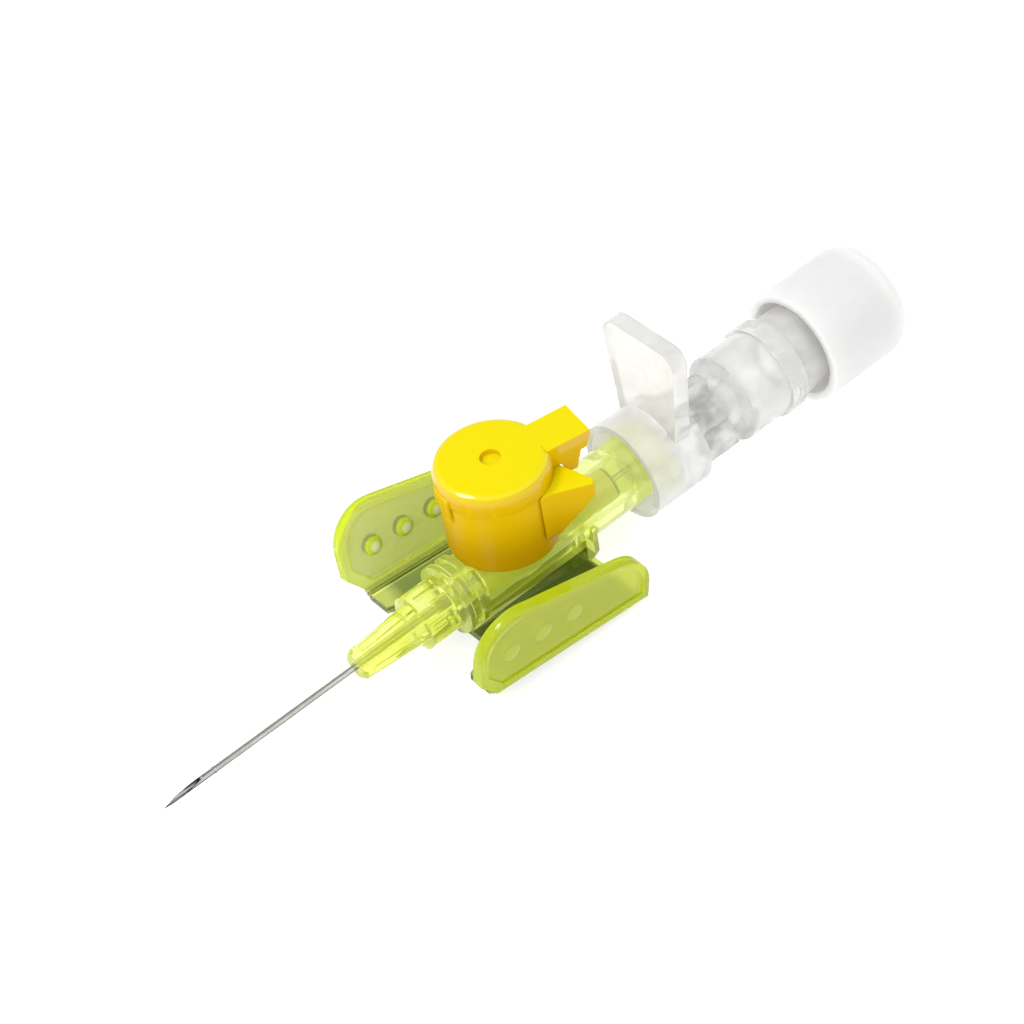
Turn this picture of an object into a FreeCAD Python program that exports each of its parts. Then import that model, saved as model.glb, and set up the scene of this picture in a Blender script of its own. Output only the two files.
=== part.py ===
import FreeCAD, Part
import math
import os
import Sketcher

# Winged intravenous cannula with an injection port, in millimetres.
# The origin is on the needle axis at the front face of the hub's nose, where the catheter leaves it.
# +X points to the rear plug, +Z up through the port, and +Y to the right as seen from the rear.

# Driving dimensions
SIZES = [
    # Needle and catheter, lengths measured along the needle axis
    ("needle_reach", 21.0, "nose face to needle tip"),
    ("needle_dia", 0.56, "outside of the steel needle"),
    ("needle_bore", 0.34, "inside of the steel needle"),
    ("bevel_length", 4.9, "length of the slanted grind"),
    ("lancet_length", 1.7, "length of the two side grinds at the point"),
    ("tube_reach", 15.6, "nose face to catheter tip"),
    ("tube_dia", 0.76, "outside of the catheter"),
    ("tube_bore", 0.60, "inside of the catheter"),
    ("tube_taper", 0.3, "length of the tapered catheter tip"),
    ("tube_tip_dia", 0.66, "outside of the catheter at its tip"),
    ("flare_length", 1.8, "flared catheter root round the ferrule"),
    ("flare_bore", 0.96, "inside of the flared root"),
    ("flare_slope", 0.16, "length of the slope into the flared root"),
    ("slide_gap", 0.03, "radial clearance round the needle"),
    # Catheter hub, places measured forward or rearward of the port axis
    ("port_x", 17.8, "nose face to port axis"),
    ("nose_dia", 3.0, "nose at its front face"),
    ("nose_root_dia", 3.8, "nose where it meets the shoulder"),
    ("nose_lip", 0.3, "sloped front edge of the nose"),
    ("shoulder_front", 11.1, "port axis forward to the shoulder step"),
    ("shoulder_rear", 7.4, "port axis forward to the rear of the shoulder"),
    ("shoulder_dia", 5.3, "ribbed shoulder behind the nose"),
    ("collar_rib_dia", 6.9, "two ring ribs in front of the port"),
    ("collar_rib_width", 0.6, "width of each ring rib"),
    ("collar_rib_gap", 0.9, "free space between the ring ribs"),
    ("barrel_dia", 6.0, "barrel under the port"),
    ("barrel_rear_dia", 6.4, "barrel round the luer socket"),
    ("barrel_swell", 0.5, "length of the slope between the two barrel sizes"),
    ("hub_rear", 17.0, "port axis rearward to the rear rim"),
    ("lug_span", 7.8, "across the two rear lugs"),
    ("lug_turn", 52.0, "angle that each rear lug takes up"),
    ("lug_length", 1.1, "length of each rear lug"),
    ("flute_count", 10, "grooves round the shoulder"),
    ("flute_width", 0.5, "width of each shoulder groove"),
    ("flute_depth", 0.3, "depth of each shoulder groove"),
    ("nose_rib_width", 0.7, "width of the ribs along the nose"),
    ("nose_rib_rise", 0.28, "rise of the ribs above the nose"),
    ("nose_rib_inset", 0.9, "nose face to the front of its ribs"),
    # Bores of the catheter hub
    ("ferrule_rear", 5.6, "port axis forward to the ferrule's rear"),
    ("ferrule_dia", 2.0, "outside of the ferrule's funnel"),
    ("ferrule_spigot", 1.35, "length of the ferrule inside the flared root"),
    ("ferrule_funnel", 1.9, "length of the ferrule's funnel"),
    ("ferrule_mouth", 1.5, "wide end of the ferrule's funnel"),
    ("ferrule_slope", 0.5, "length of the slope in the ferrule's funnel"),
    ("valve_dia", 3.3, "outside of the silicone sleeve"),
    ("valve_bore", 2.2, "inside of the silicone sleeve"),
    ("valve_front", 4.2, "port axis forward to the sleeve's front"),
    ("valve_rear", 11.4, "port axis rearward to the sleeve's rear"),
    ("socket_front", 13.2, "port axis rearward to the start of the luer cone"),
    ("luer_dia", 4.28, "luer cone at the rear rim"),
    ("luer_taper", 0.06, "change of cone diameter for each millimetre"),
    # Port chimney
    ("chimney_dia", 6.6, "outside of the port chimney"),
    ("chimney_top", 10.7, "needle axis to the chimney's rim"),
    ("chimney_bead_dia", 7.3, "retaining bead at the chimney's rim"),
    ("chimney_bead_height", 0.6, "height of the retaining bead"),
    ("port_bore", 4.2, "bore of the chimney"),
    ("port_throat", 2.0, "hole from the chimney to the sleeve"),
    ("port_floor", 3.4, "needle axis to the floor of the chimney bore"),
    # Wings, lengths measured in the plane of the panels
    ("wing_pitch", 5.8, "slope of the panels against the needle axis"),
    ("wing_drop", 4.3, "needle axis down to the panels at the port"),
    ("fold_y", 8.85, "needle axis sideways to each fold line"),
    ("right_fold", 78.0, "angle of the folded right wing above its base panel"),
    ("left_fold", 84.0, "angle of the folded left wing above its base panel"),
    ("panel_thick", 0.8, "thickness of the panels"),
    ("rim_thick", 1.15, "thickness of the wing's border"),
    ("rim_width", 0.75, "width of the wing's border"),
    ("web_half", 0.5, "fold line to the thick panel on each side"),
    ("web_thick", 0.24, "thickness of the hinge web"),
    ("web_split", 0.13, "fold line to the end of each half of the web"),
    ("web_overlap", 0.25, "part of each half of the web inside the thick panel"),
    ("base_front", 6.6, "port axis forward to the base panel beside the barrel"),
    ("base_sweep", 10.2, "port axis forward to the base panel at the fold"),
    ("base_notch_y", 4.4, "needle axis sideways to the start of the swept edge"),
    ("base_sweep_y", 5.8, "needle axis sideways to the end of the swept edge"),
    ("base_rear", 7.5, "port axis rearward to the base panel's rear edge"),
    ("keel_width", 4.2, "web between the barrel and the base panels"),
    ("end_wall_width", 6.6, "upright wall across the rear end of the keel"),
    ("end_wall_thick", 0.5, "thickness of the upright rear wall"),
    ("wing_front", 12.0, "port axis forward to the wing's front edge"),
    ("wing_heel", 2.0, "fold line to the end of the slanted front heel"),
    ("wing_tip_front", 9.8, "fold line to the free edge at the front"),
    ("wing_tip_rear", 6.1, "fold line to the free edge at the rear"),
    ("front_corner", 4.0, "rounding of the front corner"),
    ("rear_corner", 4.4, "rounding of the rear corner"),
    ("dimple_dia", 1.4, "round grip bumps on the wing"),
    ("dimple_rise", 0.35, "height of the grip bumps"),
    ("dimple_front", 8.45, "port axis forward to the first grip bump"),
    ("dimple_pitch", 3.6, "distance between grip bumps"),
    ("dimple_up", 4.45, "fold line to the grip bumps"),
    # Port cap: collar and lid
    ("collar_bottom", 3.1, "needle axis to the collar's lower edge"),
    ("collar_top", 9.95, "needle axis to the collar's upper edge"),
    ("collar_dia", 10.25, "outside of the collar"),
    ("collar_gap", 0.1, "radial clearance of the collar on the chimney"),
    ("prong_turn", -53.0, "direction of the collar's prong, from the rear"),
    ("prong_reach", 8.85, "port axis to the prong's point"),
    ("prong_root", 3.7, "width of the prong in front of its flared root"),
    ("prong_flare", 0.8, "length and extra half width of the prong's flared root"),
    ("prong_tip", 0.6, "width of the prong at its point"),
    ("prong_foot", 4.9, "needle axis to the prong's lower root"),
    ("prong_lip", 0.5, "thickness of the prong at its point"),
    ("lid_gap", 0.08, "space between the collar and the lid"),
    ("lid_top", 12.2, "needle axis to the top of the lid"),
    ("lid_dia", 10.5, "outside of the lid"),
    ("lid_round", 0.9, "rounded upper edge of the lid"),
    ("lid_roof", 1.0, "thickness of the lid's top"),
    ("lid_wall", 1.2, "thickness of the lid's side wall"),
    ("tab_turn", -10.0, "direction of the lid's tab, from the rear"),
    ("tab_reach", 8.55, "port axis to the end of the tab"),
    ("tab_width", 4.0, "width of the tab"),
    ("tab_offset", -0.6, "tab centre sideways of the port axis"),
    ("tab_end", 1.7, "thickness of the tab at its end"),
    ("tab_nose", 0.6, "slope of the tab's end face"),
    ("tab_hook", 3.5, "lid top down to the point of the tab's hook"),
    ("tab_hook_length", 1.5, "length of the hook under the tab"),
    ("tab_hook_slope", 0.6, "slope of the hook's front and rear faces"),
    ("gate_dia", 1.9, "dimple in the middle of the lid"),
    ("gate_depth", 0.5, "depth of the dimple"),
    ("plug_dia", 3.8, "inner plug of the lid"),
    ("plug_depth", 2.5, "length of the inner plug"),
    # Needle hub, places measured rearward of the port axis
    ("skirt_front", 13.8, "port axis to the skirt's front rim"),
    ("skirt_floor", 17.35, "port axis to the floor inside the skirt"),
    ("skirt_rear", 20.3, "port axis to the rear of the skirt"),
    ("skirt_dia", 9.8, "outside of the skirt"),
    ("skirt_wall", 0.75, "thickness of the skirt"),
    ("luer_nose", 3.0, "skirt floor forward to the end of the male nose"),
    ("luer_gap", 0.04, "radial clearance in the luer cones"),
    ("plate_thick", 1.75, "thickness of the thumb plate"),
    ("plate_top", 13.8, "needle axis to the top of the thumb plate"),
    ("plate_foot", 3.0, "needle axis to the foot of the thumb plate"),
    ("plate_foot_width", 7.4, "width of the thumb plate at its foot"),
    ("plate_top_width", 9.4, "width of the thumb plate at its top"),
    ("plate_round", 1.5, "rounded upper corners of the thumb plate"),
    ("neck_dia", 5.2, "neck between the skirt and the flash chamber"),
    ("neck_bore", 2.4, "bore of the neck behind the glue"),
    ("rib_count", 4, "ribs round the neck"),
    ("rib_span", 9.5, "across the ribs of the neck"),
    ("rib_rear", 24.4, "port axis to the rear end of the ribs"),
    ("rib_thick", 1.1, "thickness of each rib"),
    ("chamber_front", 26.4, "port axis to the front shoulder of the chamber"),
    ("chamber_dia", 8.8, "outside of the flash chamber"),
    ("chamber_wall", 0.9, "thickness of the chamber's front wall"),
    ("chamber_bore", 7.0, "inside of the flash chamber"),
    ("band_front", 31.0, "port axis to the band round the chamber"),
    ("band_rear", 33.0, "port axis to the rear of the band"),
    ("band_dia", 9.4, "outside of the band"),
    ("mouth_dia", 8.4, "chamber behind the band"),
    ("mouth_rear", 38.2, "port axis to the rear rim of the chamber"),
    ("needle_rear", 24.2, "port axis to the rear end of the needle"),
    ("glue_front", 22.9, "port axis to the front of the glue bead"),
    ("glue_rear", 23.8, "port axis to the rear of the glue bead"),
    ("filter_inset", 2.2, "chamber's rear rim forward to the rear of the vent filter"),
    ("filter_length", 2.0, "length of the vent filter"),
    # Rear plug
    ("cap_front", 35.5, "port axis to the front rim of the plug"),
    ("cap_rear", 45.6, "port axis to the rear face of the plug"),
    ("cap_dia", 11.5, "outside of the plug"),
    ("cap_wall", 0.85, "thickness of the plug's side wall"),
    ("cap_back", 1.8, "thickness of the plug's rear wall"),
    ("cap_round", 1.3, "rounded rear edge of the plug"),
    ("cap_nose_gap", 0.7, "space between the vent filter and the plug's nose"),
    ("cap_nose_bore", 2.2, "blind hole in the plug's nose"),
    ("cap_nose_depth", 4.0, "depth of the hole in the plug's nose"),
]

RED_FLAGS = ("Invalid", "Error")
MARGIN = 1.0  # overshoot of cuts past the faces that they open
LUG_COUNT = 2  # rear lugs, one on each side
BUMP_COUNT = 3  # grip bumps on each wing
ROUND_STEPS = 2  # straight steps in each rounded corner of a turned outline


class Dim:
    """A length: its number now, and the expression that keeps it tied to the sheet."""

    def __init__(self, value, text):
        self.value = value
        self.text = text

    def join(self, other, sign, value):
        return Dim(value, "(" + self.text + " " + sign + " " + dim(other).text + ")")

    def __add__(self, other):
        return self.join(other, "+", self.value + dim(other).value)

    def __sub__(self, other):
        return self.join(other, "-", self.value - dim(other).value)

    def __mul__(self, other):
        return self.join(other, "*", self.value * dim(other).value)

    def __truediv__(self, other):
        return self.join(other, "/", self.value / dim(other).value)

    def __neg__(self):
        return Dim(-self.value, "(0 - " + self.text + ")")


def dim(number):
    """Plain numbers join expressions as they are."""
    if isinstance(number, Dim):
        return number
    return Dim(float(number), repr(float(number)))


def slope(angle):
    """Tangent of an angle that the sheet holds in degrees."""
    return Dim(math.tan(math.radians(angle.value)), "tan(" + angle.text + ")")


doc = FreeCAD.newDocument("iv_cannula")
sheet = doc.addObject("Spreadsheet::Sheet", "Sizes")
size = {}
for row, (alias, number, note) in enumerate(SIZES, start=1):
    sheet.set("A" + str(row), alias)
    sheet.set("B" + str(row), str(number))
    sheet.set("C" + str(row), note)
    sheet.setAlias("B" + str(row), alias)
    size[alias] = Dim(float(number), "Sizes." + alias)
doc.recompute()


def vector(x, y, z):
    return FreeCAD.Vector(x, y, z)


def new_body(label, x=None):
    """A piece of its own, moved along the needle axis by x."""
    body = doc.addObject("PartDesign::Body", label)
    body.Label = label
    if x is not None:
        body.setExpression("Placement.Base.x", x.text)
    return body


def new_sketch(body, name, role, offset=None):
    """Sketch on one of the body's own planes; offset moves it along the plane's normal."""
    sketch = body.newObject("Sketcher::SketchObject", name)
    plane = [one for one in body.Origin.OriginFeatures if one.Role == role][0]
    sketch.AttachmentSupport = [(plane, "")]
    sketch.MapMode = "FlatFace"
    if offset is not None:
        sketch.setExpression("AttachmentOffset.Base.z", offset.text)
    return sketch


def tilt_sketch(sketch, drop, angle):
    """Slope a sketch of the horizontal plane about Y and lower it to the wing panels."""
    sketch.AttachmentOffset = FreeCAD.Placement(vector(0, 0, 0), FreeCAD.Rotation(vector(0, 1, 0), 1))
    sketch.setExpression("AttachmentOffset.Rotation.Angle", angle.text)
    sketch.setExpression("AttachmentOffset.Base.z", "0 - " + drop.text)


def tie(sketch, kind, *place, to):
    """Constraint whose value follows an expression."""
    index = sketch.addConstraint(Sketcher.Constraint(kind, *place, to.value))
    sketch.setExpression("Constraints[" + str(index) + "]", to.text)


def add_outline(sketch, corners):
    """Closed outline of straight edges, each corner tied to the sheet."""
    first = sketch.GeometryCount
    corners = [(dim(x), dim(y)) for x, y in corners]
    count = len(corners)
    for index, (x, y) in enumerate(corners):
        next_x, next_y = corners[(index + 1) % count]
        start = vector(x.value, y.value, 0)
        end = vector(next_x.value, next_y.value, 0)
        sketch.addGeometry(Part.LineSegment(start, end), False)
    for index in range(count):
        follower = first + (index + 1) % count
        sketch.addConstraint(Sketcher.Constraint("Coincident", first + index, 2, follower, 1))
    for index, (x, y) in enumerate(corners):
        tie(sketch, "DistanceX", first + index, 1, to=x)
        tie(sketch, "DistanceY", first + index, 1, to=y)


def add_circle(sketch, x, y, diameter):
    """Circle with its centre and diameter tied to the sheet."""
    x, y = dim(x), dim(y)
    circle = Part.Circle(vector(x.value, y.value, 0), vector(0, 0, 1), diameter.value / 2)
    index = sketch.addGeometry(circle, False)
    tie(sketch, "DistanceX", index, 3, to=x)
    tie(sketch, "DistanceY", index, 3, to=y)
    tie(sketch, "Diameter", index, to=diameter)


def mirror_across(corners):
    """The corners, and then their mirror images in the sketch's horizontal axis, in ring order."""
    return corners + [(x, -dim(y)) for x, y in reversed(corners)]


def mirror_in_y(corners):
    """The corners, and then their mirror images in the sketch's upright axis, in ring order."""
    return corners + [(-dim(x), y) for x, y in reversed(corners)]


def round_corner(x, y, radius, to_x, to_y):
    """Rounded corner in short steps, from its level side to its upright one.

    to_x and to_y are 1 or -1 and point from the corner to the centre of the rounding."""
    points = []
    for step in range(ROUND_STEPS + 1):
        turn = math.radians(90.0 * step / ROUND_STEPS)
        inward = to_x * (1 - math.sin(turn))
        upward = to_y * (1 - math.cos(turn))
        points.append((x + radius * inward, y + radius * upward))
    return points


def turned(body, name, corners, axis="H_Axis", cut=False, role="XZ_Plane"):
    """Solid or cut made by turning an outline round an axis of its sketch."""
    sketch = new_sketch(body, name + "_outline", role)
    add_outline(sketch, corners)
    feature = body.newObject("PartDesign::Groove" if cut else "PartDesign::Revolution", name)
    feature.Profile = sketch
    feature.ReferenceAxis = (sketch, [axis])
    feature.Angle = 360
    sketch.Visibility = False
    doc.recompute()
    return feature


def padded(body, name, sketch, length, both_sides=False, backward=False):
    """Solid of a sketch's outline, drawn out along its normal."""
    feature = body.newObject("PartDesign::Pad", name)
    feature.Profile = sketch
    feature.setExpression("Length", length.text)
    feature.Midplane = both_sides
    feature.Reversed = backward
    doc.recompute()
    return feature


def pocket(body, name, sketch, length, both_sides=False, backward=False):
    """Cut of a sketch's outline; it has to take something away."""
    before = body.Shape.Volume
    feature = body.newObject("PartDesign::Pocket", name)
    feature.Profile = sketch
    feature.setExpression("Length", length.text)
    feature.Midplane = both_sides
    feature.Reversed = backward
    doc.recompute()
    if not body.Shape.Volume < before:
        raise RuntimeError(name + " takes nothing away")
    return feature


def edges_where(shape, wanted):
    """Names of the edges that a test accepts."""
    return ["Edge" + str(number) for number, edge in enumerate(shape.Edges, start=1) if wanted(edge)]


def rounded(body, name, radius, wanted):
    """Fillet on the edges of the tip that a test accepts."""
    doc.recompute()
    tip = body.Tip
    names = edges_where(tip.Shape, wanted)
    if not names:
        raise RuntimeError(name + " finds no edge")
    feature = body.newObject("PartDesign::Fillet", name)
    feature.Base = (tip, names)
    feature.setExpression("Radius", radius.text)
    doc.recompute()
    return feature


def near(number, target, room=1e-4):
    return abs(number - target.value) < room


def turned_pattern(body, name, feature, count):
    """Copies of a feature round the needle axis."""
    pattern = body.newObject("PartDesign::PolarPattern", name)
    pattern.Originals = [feature]
    axis = [one for one in body.Origin.OriginFeatures if one.Role == "X_Axis"][0]
    pattern.Axis = (axis, [""])
    pattern.Angle = 360
    pattern.setExpression("Occurrences", count.text)
    body.Tip = pattern
    doc.recompute()
    return pattern


# Catheter tube: tapered tip, long straight run, flared root over the ferrule
def make_catheter_tube():
    body = new_body("catheter_tube")
    tip = -size["tube_reach"]
    root = size["port_x"] - size["ferrule_rear"] - size["ferrule_funnel"]
    flare = root - size["flare_length"]
    slope_end = flare + size["flare_slope"]
    wall = (size["tube_dia"] - size["tube_bore"]) / 2
    turned(body, "tube_turned", [
        (tip, size["tube_bore"] / 2),
        (tip, size["tube_tip_dia"] / 2),
        (tip + size["tube_taper"], size["tube_dia"] / 2),
        (flare, size["tube_dia"] / 2),
        (slope_end, size["flare_bore"] / 2 + wall),
        (root, size["flare_bore"] / 2 + wall),
        (root, size["flare_bore"] / 2),
        (slope_end, size["flare_bore"] / 2),
        (flare, size["tube_bore"] / 2),
    ])
    return body


# Ferrule: spigot inside the flared tube, funnel behind it that guides the needle
def make_catheter_ferrule():
    body = new_body("catheter_ferrule")
    rear = size["port_x"] - size["ferrule_rear"]
    step = rear - size["ferrule_funnel"]
    front = step - size["ferrule_spigot"]
    inner = size["needle_dia"] / 2 + size["slide_gap"]
    turned(body, "ferrule_turned", [
        (front, inner),
        (front, size["flare_bore"] / 2 - size["slide_gap"]),
        (step, size["flare_bore"] / 2 - size["slide_gap"]),
        (step, size["ferrule_dia"] / 2),
        (rear, size["ferrule_dia"] / 2),
        (rear, size["ferrule_mouth"] / 2),
        (rear - size["ferrule_slope"], inner),
    ])
    return body


def add_hub_outside(body):
    """Nose, fluted shoulder, two ring ribs, barrel and rear rim."""
    rib_one = -size["shoulder_rear"]
    rib_two = rib_one + size["collar_rib_width"] + size["collar_rib_gap"]
    turned(body, "barrel", [
        (-size["port_x"], 0),
        (-size["port_x"], size["nose_dia"] / 2 - size["nose_lip"]),
        (-size["port_x"] + size["nose_lip"], size["nose_dia"] / 2),
        (-size["shoulder_front"], size["nose_root_dia"] / 2),
        (-size["shoulder_front"], size["shoulder_dia"] / 2),
        (rib_one, size["shoulder_dia"] / 2),
        (rib_one, size["collar_rib_dia"] / 2),
        (rib_one + size["collar_rib_width"], size["collar_rib_dia"] / 2),
        (rib_one + size["collar_rib_width"], size["barrel_dia"] / 2),
        (rib_two, size["barrel_dia"] / 2),
        (rib_two, size["collar_rib_dia"] / 2),
        (rib_two + size["collar_rib_width"], size["collar_rib_dia"] / 2),
        (rib_two + size["collar_rib_width"], size["barrel_dia"] / 2),
        (size["base_rear"], size["barrel_dia"] / 2),
        (size["base_rear"] + size["barrel_swell"], size["barrel_rear_dia"] / 2),
        (size["hub_rear"], size["barrel_rear_dia"] / 2),
        (size["hub_rear"], 0),
    ])


def add_nose_ribs(body):
    """Two ribs crossed on the nose, which give it its four ridges."""
    front = -size["port_x"] + size["nose_rib_inset"]
    rise_front = size["nose_dia"] / 2 + size["nose_rib_rise"] / 2
    rise_rear = size["nose_root_dia"] / 2 + size["nose_rib_rise"]
    for role, name in (("XZ_Plane", "nose_rib_upright"), ("XY_Plane", "nose_rib_level")):
        sketch = new_sketch(body, name + "_outline", role)
        add_outline(sketch, mirror_across([(front, rise_front), (-size["shoulder_front"], rise_rear)]))
        padded(body, name, sketch, size["nose_rib_width"], both_sides=True)


def add_flutes(body):
    """Grooves round the shoulder."""
    sketch = new_sketch(body, "flute_outline", "XZ_Plane")
    bottom = size["shoulder_dia"] / 2 - size["flute_depth"]
    front = -size["shoulder_front"] + size["flute_width"]
    rear = -size["shoulder_rear"] - size["flute_width"]
    top = size["shoulder_dia"] / 2 + MARGIN
    add_outline(sketch, [(front, bottom), (rear, bottom), (rear, top), (front, top)])
    flute = pocket(body, "flute", sketch, size["flute_width"], both_sides=True)
    turned_pattern(body, "flutes", flute, size["flute_count"])


def panel_height(x, thickness):
    """Height of the base panel's face over the needle axis, at a place along it."""
    return -size["wing_drop"] - slope(size["wing_pitch"]) * x + thickness


def add_base_panels(body):
    """Keel and end wall under the barrel, both sloped base panels, and the fixed half of each web."""
    keel = new_sketch(body, "keel_outline", "XZ_Plane")
    add_outline(keel, [
        (-size["base_front"], -size["barrel_dia"] / 4),
        (-size["base_front"], panel_height(-size["base_front"], 0)),
        (size["base_rear"], panel_height(size["base_rear"], 0)),
        (size["base_rear"], -size["barrel_dia"] / 4),
    ])
    padded(body, "keel", keel, size["keel_width"], both_sides=True)
    wall = new_sketch(body, "end_wall_outline", "YZ_Plane", size["base_rear"] - size["end_wall_thick"])
    foot = panel_height(size["base_rear"], 0)
    add_outline(wall, mirror_in_y([
        (size["end_wall_width"] / 2, 0),
        (size["end_wall_width"] / 2, -size["barrel_dia"] / 2),
        (size["keel_width"] / 2, foot),
    ]))
    padded(body, "end_wall", wall, size["end_wall_thick"])
    panels = new_sketch(body, "base_panel_outline", "XY_Plane")
    tilt_sketch(panels, size["wing_drop"], size["wing_pitch"])
    edge = size["fold_y"] - size["web_half"]
    add_outline(panels, mirror_across([
        (-size["base_front"], size["keel_width"] / 2),
        (-size["base_front"], size["base_notch_y"]),
        (-size["base_sweep"], size["base_sweep_y"]),
        (-size["base_sweep"], edge),
        (size["base_rear"], edge),
        (size["base_rear"], size["keel_width"] / 2),
    ]))
    padded(body, "base_panels", panels, size["panel_thick"], both_sides=True)
    webs = new_sketch(body, "fixed_web_outline", "XY_Plane")
    tilt_sketch(webs, size["wing_drop"], size["wing_pitch"])
    inner = edge - size["web_overlap"]
    outer = size["fold_y"] - size["web_split"]
    for side in (1, -1):
        add_outline(webs, [
            (-size["base_sweep"], inner * side),
            (size["base_rear"], inner * side),
            (size["base_rear"], outer * side),
            (-size["base_sweep"], outer * side),
        ])
    padded(body, "fixed_webs", webs, size["web_thick"], both_sides=True)


def add_chimney(body):
    """Port chimney with a retaining bead at its rim."""
    bead_foot = size["chimney_top"] - size["chimney_bead_height"]
    turned(body, "chimney", [
        (0, 0),
        (size["chimney_dia"] / 2, 0),
        (size["chimney_dia"] / 2, bead_foot),
        (size["chimney_bead_dia"] / 2, bead_foot),
        (size["chimney_dia"] / 2, size["chimney_top"]),
        (0, size["chimney_top"]),
    ], axis="V_Axis")


def add_lugs(body):
    """Two lugs at the rear rim, one on each side."""
    sketch = new_sketch(body, "lug_outline", "XY_Plane")
    inner = size["barrel_rear_dia"] / 2 - size["lug_length"] / 2
    add_outline(sketch, [
        (size["hub_rear"] - size["lug_length"], inner),
        (size["hub_rear"], inner),
        (size["hub_rear"], size["lug_span"] / 2),
        (size["hub_rear"] - size["lug_length"], size["lug_span"] / 2),
    ])
    lug = body.newObject("PartDesign::Revolution", "lug")
    lug.Profile = sketch
    lug.ReferenceAxis = (sketch, ["H_Axis"])
    lug.setExpression("Angle", size["lug_turn"].text)
    lug.Midplane = True
    doc.recompute()
    turned_pattern(body, "lugs", lug, dim(LUG_COUNT))


def add_hub_bores(body):
    """Way for the tube, ferrule, sleeve and male nose, and the port's bore from above."""
    ferrule_rear = -size["ferrule_rear"]
    ferrule_step = ferrule_rear - size["ferrule_funnel"]
    flare = ferrule_step - size["flare_length"]
    wall = (size["tube_dia"] - size["tube_bore"]) / 2
    flare_out = size["flare_bore"] / 2 + wall
    turned(body, "needle_way", [
        (-size["port_x"] - MARGIN, 0),
        (-size["port_x"] - MARGIN, size["tube_dia"] / 2),
        (flare, size["tube_dia"] / 2),
        (flare + size["flare_slope"], flare_out),
        (ferrule_step, flare_out),
        (ferrule_step, size["ferrule_dia"] / 2),
        (-size["valve_front"], size["ferrule_dia"] / 2),
        (-size["valve_front"], size["valve_dia"] / 2),
        (size["socket_front"], size["valve_dia"] / 2),
        (size["socket_front"], socket_radius(size["socket_front"])),
        (size["hub_rear"] + MARGIN, socket_radius(size["hub_rear"] + MARGIN)),
        (size["hub_rear"] + MARGIN, 0),
    ], cut=True)
    throat_end = (size["valve_dia"] + size["valve_bore"]) / 4
    turned(body, "port_way", [
        (0, throat_end),
        (size["port_throat"] / 2, throat_end),
        (size["port_throat"] / 2, size["port_floor"]),
        (size["port_bore"] / 2, size["port_floor"]),
        (size["port_bore"] / 2, size["chimney_top"] + MARGIN),
        (0, size["chimney_top"] + MARGIN),
    ], axis="V_Axis", cut=True)


def socket_radius(x):
    """Radius of the hub's luer cone at a place behind the port."""
    return (size["luer_dia"] - (size["hub_rear"] - x) * size["luer_taper"]) / 2


# Catheter hub: one moulding
def make_catheter_hub():
    body = new_body("catheter_hub", size["port_x"])
    add_hub_outside(body)
    add_nose_ribs(body)
    add_flutes(body)
    add_base_panels(body)
    add_chimney(body)
    add_lugs(body)
    add_hub_bores(body)
    return body


# Silicone sleeve under the port
def make_valve_sleeve():
    body = new_body("valve_sleeve", size["port_x"])
    turned(body, "sleeve_turned", [
        (-size["valve_front"], size["valve_bore"] / 2),
        (-size["valve_front"], size["valve_dia"] / 2),
        (size["valve_rear"], size["valve_dia"] / 2),
        (size["valve_rear"], size["valve_bore"] / 2),
    ])
    return body


def wing_edge(x):
    """Distance of the wing's free edge from the fold, at a place along it."""
    run = size["wing_front"] + size["base_rear"]
    fall = (size["wing_tip_front"] - size["wing_tip_rear"]) / run
    return size["wing_tip_front"] - fall * (x + size["wing_front"])


def wing_outline(inset, side):
    """Wing outline, moved inwards by an inset; side is 1 on the right and -1 on the left."""
    front = -size["wing_front"] + inset
    rear = size["base_rear"] - inset
    root = size["web_half"] + inset
    heel = size["web_half"] + size["wing_heel"] + inset
    return [
        (-size["base_sweep"] + inset, root * side),
        (front, heel * side),
        (front, (wing_edge(front) - inset) * side),
        (rear, (wing_edge(rear) - inset) * side),
        (rear, root * side),
    ]


def corner_edges(body, side, place, inset):
    """Test for the upright edge at one free corner of the wing."""
    x = place
    y = (wing_edge(place) - inset) * side

    def wanted(edge):
        ends = [vertex.Point for vertex in edge.Vertexes]
        upright = len(ends) == 2 and abs(ends[0].z - ends[1].z) > 1e-4
        return upright and all(near(end.x, x) and near(end.y, y) for end in ends)
    return wanted


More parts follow.
